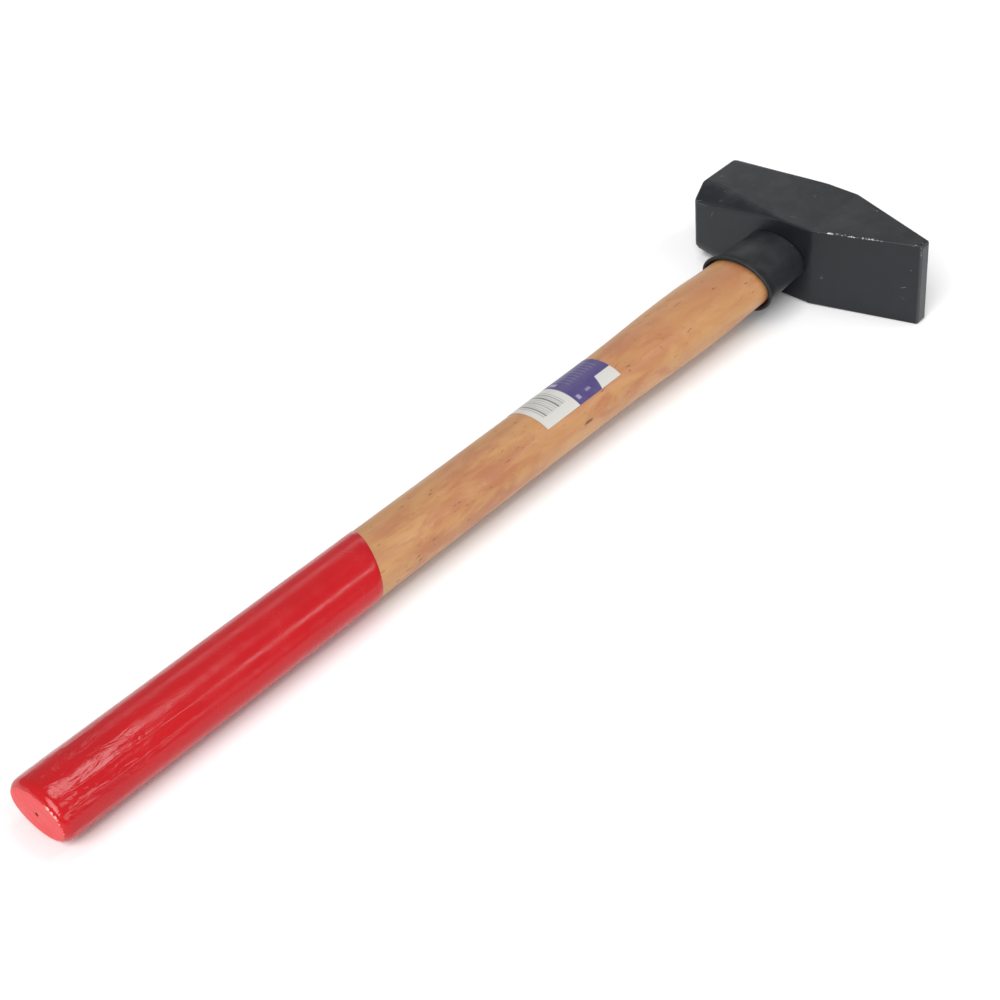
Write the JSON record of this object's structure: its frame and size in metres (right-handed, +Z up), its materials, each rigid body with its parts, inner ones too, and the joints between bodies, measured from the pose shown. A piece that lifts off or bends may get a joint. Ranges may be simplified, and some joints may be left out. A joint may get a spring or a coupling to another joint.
{
  "type": "cross-pein sledge hammer",
  "caption": "Cross-pein sledge hammer: a forged, black-lacquered head wedged on an oval wooden handle with a steel guard collar and a dipped red grip.",
  "frame": {"origin": "middle of the lower cheek of the head, straight below the middle of the eye, where the hammer rests when it lies on its side", "axes": "+X along the handle's axis from the butt towards the head's crown, +Y along the head towards the striking face, +Z up, square to the resting cheek"},
  "size_m": [0.7953, 0.192, 0.07],
  "materials": {
    "head_lacquer": "semi-gloss black lacquer over forged steel, rubbed at the edges",
    "collar_paint": "satin black",
    "handle_wood": "clear-lacquered light brown hardwood with reddish flecks",
    "wedge_wood": "bare hardwood, sawn flush",
    "wedge_steel": "plain steel, hammered in",
    "grip_paint": "thick glossy red dip coat with runs",
    "label_paper": "coated paper sticker, blue-violet and white fields"
  },
  "bodies": {
    "root": {"head": "head_lacquer", "collar": "collar_paint", "handle": "handle_wood", "wooden_wedge": "wedge_wood", "steel_wedge_front": "wedge_steel", "steel_wedge_rear": "wedge_steel", "grip_coat": "grip_paint", "label": "label_paper"}
  },
  "joints": []
}
